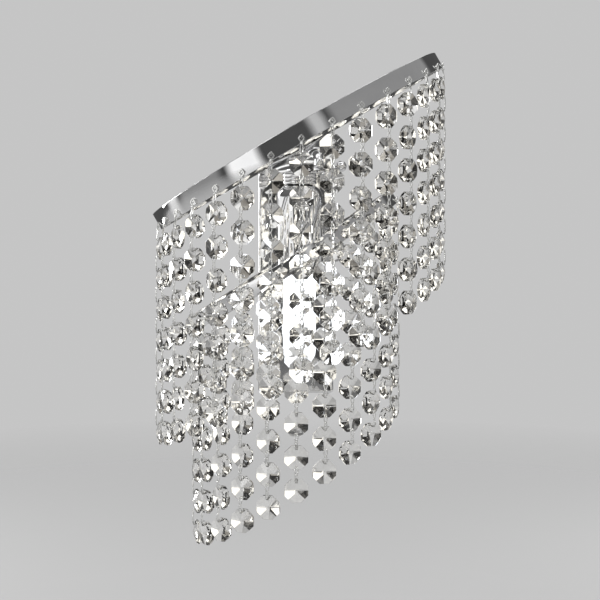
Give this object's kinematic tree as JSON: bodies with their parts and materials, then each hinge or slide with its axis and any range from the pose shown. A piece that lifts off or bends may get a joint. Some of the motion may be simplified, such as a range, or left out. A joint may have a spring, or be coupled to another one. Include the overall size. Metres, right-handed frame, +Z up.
{
  "type": "crystal wall sconce",
  "caption": "Wall light with one downward lamp behind two tilted chrome bands hung with strands of clear octagon crystals.",
  "frame": {"origin": "on the wall, midway between the two wall screws", "axes": "+Z up, +Y into the wall, so the light stands out towards -Y; +X to the right as seen from the room"},
  "size_m": [0.1861, 0.1097, 0.3116],
  "materials": {
    "crystal": "polished, clear",
    "chrome": "mirror polished",
    "clip_metal": "bright",
    "plated_steel": "zinc plated",
    "white_plastic": "moulded",
    "brass": "plain",
    "nickelled_cap": "nickelled",
    "bulb_glass": "clear",
    "cap_insulator": "vitrite",
    "holder_moulding": "moulded",
    "lead_sheath": "smooth",
    "filament_wire": "drawn wire"
  },
  "bodies": {
    "fixture": {"arm_flange": "chrome", "arm_nut": "plated_steel", "bar_nuts": "plated_steel", "centre_contact": "brass", "collar": "chrome", "earth_screw": "brass", "earth_washer": "brass", "lamp_arm": "chrome", "lamp_holder": "holder_moulding", "lamp_hub": "chrome", "lamp_lead": "lead_sheath", "lamp_sleeve": "chrome", "lower_bar": "chrome", "lower_bar_screws": "chrome", "lower_bow": "chrome", "lower_hooks": "clip_metal", "screw_shell": "brass", "side_screws": "chrome", "terminal_block": "white_plastic", "terminal_screws": "brass", "threaded_nipple": "plated_steel", "upper_bar": "chrome", "upper_bar_screws": "chrome", "upper_bow": "chrome", "upper_hooks": "clip_metal", "wall_box": "chrome", "wall_bracket": "plated_steel"},
    "bulb": {"bulb_glass": "bulb_glass", "bulb_cap": "nickelled_cap", "bulb_tip": "cap_insulator", "bulb_stem": "bulb_glass", "filament": "filament_wire"},
    "upper_strand_01": {"upper_strand_01": "crystal"},
    "upper_strand_02": {"upper_strand_02": "crystal"},
    "upper_strand_03": {"upper_strand_03": "crystal"},
    "upper_strand_04": {"upper_strand_04": "crystal"},
    "upper_strand_05": {"upper_strand_05": "crystal"},
    "upper_strand_06": {"upper_strand_06": "crystal"},
    "upper_strand_07": {"upper_strand_07": "crystal"},
    "upper_strand_08": {"upper_strand_08": "crystal"},
    "upper_strand_09": {"upper_strand_09": "crystal"},
    "upper_strand_10": {"upper_strand_10": "crystal"},
    "upper_strand_11": {"upper_strand_11": "crystal"},
    "upper_strand_12": {"upper_strand_12": "crystal"},
    "upper_strand_13": {"upper_strand_13": "crystal"},
    "upper_strand_14": {"upper_strand_14": "crystal"},
    "upper_strand_15": {"upper_strand_15": "crystal"},
    "lower_strand_01": {"lower_strand_01": "crystal"},
    "lower_strand_02": {"lower_strand_02": "crystal"},
    "lower_strand_03": {"lower_strand_03": "crystal"},
    "lower_strand_04": {"lower_strand_04": "crystal"},
    "lower_strand_05": {"lower_strand_05": "crystal"},
    "lower_strand_06": {"lower_strand_06": "crystal"},
    "lower_strand_07": {"lower_strand_07": "crystal"},
    "lower_strand_08": {"lower_strand_08": "crystal"},
    "lower_strand_09": {"lower_strand_09": "crystal"},
    "lower_strand_10": {"lower_strand_10": "crystal"},
    "lower_strand_11": {"lower_strand_11": "crystal"}
  },
  "joints": [
    {"name": "upper_swing_01", "type": "hinge", "parent": "fixture", "child": "upper_strand_01", "pos_m": [-0.08583, -0.0265, 0.01694], "axis": [-0.2725, 0.9621, 0], "range_deg": [-6, 15]},
    {"name": "upper_swing_02", "type": "hinge", "parent": "fixture", "child": "upper_strand_02", "pos_m": [-0.08011, -0.04537, 0.02022], "axis": [-0.4682, 0.8836, 0], "range_deg": [-6, 15]},
    {"name": "upper_swing_03", "type": "hinge", "parent": "fixture", "child": "upper_strand_03", "pos_m": [-0.07141, -0.06265, 0.0252], "axis": [-0.6361, 0.7716, 0], "range_deg": [-6, 15]},
    {"name": "upper_swing_04", "type": "hinge", "parent": "fixture", "child": "upper_strand_04", "pos_m": [-0.06003, -0.07772, 0.03172], "axis": [-0.7715, 0.6362, 0], "range_deg": [-6, 15]},
    {"name": "upper_swing_05", "type": "hinge", "parent": "fixture", "child": "upper_strand_05", "pos_m": [-0.04638, -0.09005, 0.03954], "axis": [-0.874, 0.486, 0], "range_deg": [-6, 15]},
    {"name": "upper_swing_06", "type": "hinge", "parent": "fixture", "child": "upper_strand_06", "pos_m": [-0.03096, -0.09919, 0.04837], "axis": [-0.9449, 0.3274, 0], "range_deg": [-6, 15]},
    {"name": "upper_swing_07", "type": "hinge", "parent": "fixture", "child": "upper_strand_07", "pos_m": [-0.01432, -0.1048, 0.0579], "axis": [-0.9864, 0.1646, 0], "range_deg": [-6, 15]},
    {"name": "upper_swing_08", "type": "hinge", "parent": "fixture", "child": "upper_strand_08", "pos_m": [0.00294, -0.1067, 0.06778], "axis": [-1, 0, 0], "range_deg": [-6, 15]},
    {"name": "upper_swing_09", "type": "hinge", "parent": "fixture", "child": "upper_strand_09", "pos_m": [0.0202, -0.1048, 0.07767], "axis": [-0.9864, -0.1646, 0], "range_deg": [-6, 15]},
    {"name": "upper_swing_10", "type": "hinge", "parent": "fixture", "child": "upper_strand_10", "pos_m": [0.03684, -0.09919, 0.0872], "axis": [-0.9449, -0.3274, 0], "range_deg": [-6, 15]},
    {"name": "upper_swing_11", "type": "hinge", "parent": "fixture", "child": "upper_strand_11", "pos_m": [0.05226, -0.09005, 0.09603], "axis": [-0.874, -0.486, 0], "range_deg": [-6, 15]},
    {"name": "upper_swing_12", "type": "hinge", "parent": "fixture", "child": "upper_strand_12", "pos_m": [0.06591, -0.07772, 0.10385], "axis": [-0.7715, -0.6362, 0], "range_deg": [-6, 15]},
    {"name": "upper_swing_13", "type": "hinge", "parent": "fixture", "child": "upper_strand_13", "pos_m": [0.07729, -0.06265, 0.11036], "axis": [-0.6361, -0.7716, 0], "range_deg": [-6, 15]},
    {"name": "upper_swing_14", "type": "hinge", "parent": "fixture", "child": "upper_strand_14", "pos_m": [0.086, -0.04537, 0.11535], "axis": [-0.4682, -0.8836, 0], "range_deg": [-6, 15]},
    {"name": "upper_swing_15", "type": "hinge", "parent": "fixture", "child": "upper_strand_15", "pos_m": [0.09171, -0.0265, 0.11862], "axis": [-0.2725, -0.9621, 0], "range_deg": [-6, 15]},
    {"name": "lower_swing_01", "type": "hinge", "parent": "fixture", "child": "lower_strand_01", "pos_m": [-0.06246, -0.0265, -0.04605], "axis": [-0.3265, 0.9452, 0], "range_deg": [-6, 12]},
    {"name": "lower_swing_02", "type": "hinge", "parent": "fixture", "child": "lower_strand_02", "pos_m": [-0.05577, -0.04463, -0.04181], "axis": [-0.5799, 0.8147, 0], "range_deg": [-6, 12]},
    {"name": "lower_swing_03", "type": "hinge", "parent": "fixture", "child": "lower_strand_03", "pos_m": [-0.04539, -0.06014, -0.03522], "axis": [-0.7724, 0.6352, 0], "range_deg": [-6, 12]},
    {"name": "lower_swing_04", "type": "hinge", "parent": "fixture", "child": "lower_strand_04", "pos_m": [-0.03203, -0.07201, -0.02674], "axis": [-0.9024, 0.431, 0], "range_deg": [-6, 12]},
    {"name": "lower_swing_05", "type": "hinge", "parent": "fixture", "child": "lower_strand_05", "pos_m": [-0.01655, -0.07946, -0.01692], "axis": [-0.9762, 0.217, 0], "range_deg": [-6, 12]},
    {"name": "lower_swing_06", "type": "hinge", "parent": "fixture", "child": "lower_strand_06", "pos_m": [0.00002, -0.082, -0.0064], "axis": [-1, 0, 0], "range_deg": [-6, 12]},
    {"name": "lower_swing_07", "type": "hinge", "parent": "fixture", "child": "lower_strand_07", "pos_m": [0.01659, -0.07946, 0.00411], "axis": [-0.9762, -0.217, 0], "range_deg": [-6, 12]},
    {"name": "lower_swing_08", "type": "hinge", "parent": "fixture", "child": "lower_strand_08", "pos_m": [0.03206, -0.07201, 0.01393], "axis": [-0.9024, -0.431, 0], "range_deg": [-6, 12]},
    {"name": "lower_swing_09", "type": "hinge", "parent": "fixture", "child": "lower_strand_09", "pos_m": [0.04543, -0.06014, 0.02241], "axis": [-0.7724, -0.6352, 0], "range_deg": [-6, 12]},
    {"name": "lower_swing_10", "type": "hinge", "parent": "fixture", "child": "lower_strand_10", "pos_m": [0.0558, -0.04463, 0.029], "axis": [-0.5799, -0.8147, 0], "range_deg": [-6, 12]},
    {"name": "lower_swing_11", "type": "hinge", "parent": "fixture", "child": "lower_strand_11", "pos_m": [0.0625, -0.0265, 0.03325], "axis": [-0.3265, -0.9452, 0], "range_deg": [-6, 12]},
    {"name": "bulb_draw", "type": "slide", "parent": "fixture", "child": "bulb", "axis": [0, 0, -1], "range_m": [0, 0.03]}
  ]
}
